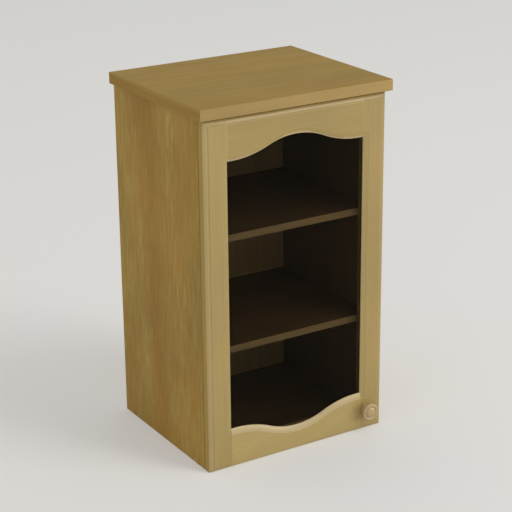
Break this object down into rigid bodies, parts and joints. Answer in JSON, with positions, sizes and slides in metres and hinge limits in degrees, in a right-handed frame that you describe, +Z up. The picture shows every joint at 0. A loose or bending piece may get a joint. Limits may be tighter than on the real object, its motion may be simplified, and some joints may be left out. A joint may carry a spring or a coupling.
{
  "type": "kitchen wall cabinet",
  "caption": "Narrow wooden kitchen wall cabinet with an overhanging top board, shelves, and a scalloped glass door on concealed hinges with a turned knob.",
  "frame": {"origin": "middle of the cabinet's lower rear edge, on the wall plane", "axes": "+X to the right seen from the front, +Y into the wall, +Z up; the door faces -Y"},
  "size_m": [0.419, 0.3682, 0.718],
  "materials": {
    "side_wood": "satin lacquered wood grain running up the sides",
    "inner_wood": "satin",
    "shelf_wood": "satin",
    "back_wood": "matt",
    "board_wood": "satin lacquered wood grain along the board",
    "stile_wood": "satin lacquered wood grain running up the stiles",
    "rail_wood": "satin lacquered wood grain along the rails",
    "strip_wood": "satin",
    "knob_wood": "satin lacquered",
    "dowel_wood": "matt",
    "glass": "clear, tinted bronze",
    "steel": "nickel plated",
    "zinc": "die cast",
    "pad": "soft"
  },
  "bodies": {
    "carcass": {"left_side": "side_wood", "right_side": "side_wood", "bottom_panel": "inner_wood", "top_panel": "inner_wood", "back_panel": "back_wood", "hanging_rail": "inner_wood", "top_board": "board_wood", "board_screws": "steel", "lower_shelf": "shelf_wood", "upper_shelf": "shelf_wood", "lower_shelf_pegs": "steel", "upper_shelf_pegs": "steel", "panel_dowels": "dowel_wood", "rail_dowels": "dowel_wood", "cam_bolts": "steel", "cam_housings": "zinc", "lower_hinge_arm": "steel", "upper_hinge_arm": "steel", "lower_hinge_plate": "zinc", "upper_hinge_plate": "zinc", "arm_pins": "zinc", "plate_screws": "steel", "arm_screws": "steel"},
    "outer_links": {"lower_outer_link": "steel", "upper_outer_link": "steel"},
    "inner_links": {"lower_inner_link": "steel", "upper_inner_link": "steel"},
    "door": {"left_stile": "stile_wood", "right_stile": "stile_wood", "top_rail": "rail_wood", "bottom_rail": "rail_wood", "glass_pane": "glass", "left_strip": "strip_wood", "right_strip": "strip_wood", "top_strip": "strip_wood", "bottom_strip": "strip_wood", "knob": "knob_wood", "knob_screw": "steel", "door_buffers": "pad", "lower_hinge_cup": "steel", "upper_hinge_cup": "steel", "cup_pins": "zinc", "cup_screws": "steel"}
  },
  "joints": [
    {"name": "outer_link_turn", "type": "hinge", "parent": "carcass", "child": "outer_links", "pos_m": [-0.1708, -0.3246, 0.346], "axis": [0, 0, 1], "range_deg": [0, 14.6]},
    {"name": "door_swing", "type": "hinge", "parent": "outer_links", "child": "door", "pos_m": [-0.1908, -0.3318, 0.346], "axis": [0, 0, -1], "range_deg": [0, 109.5]},
    {"name": "inner_link_turn", "type": "hinge", "parent": "carcass", "child": "inner_links", "pos_m": [-0.1669, -0.33155, 0.346], "axis": [0, 0, 1], "range_deg": [0, 33.5]}
  ],
  "couplings": [
    {"joint": "outer_link_turn", "follows": "door_swing", "ratio": 0.1327},
    {"joint": "inner_link_turn", "follows": "door_swing", "ratio": 0.3053}
  ]
}
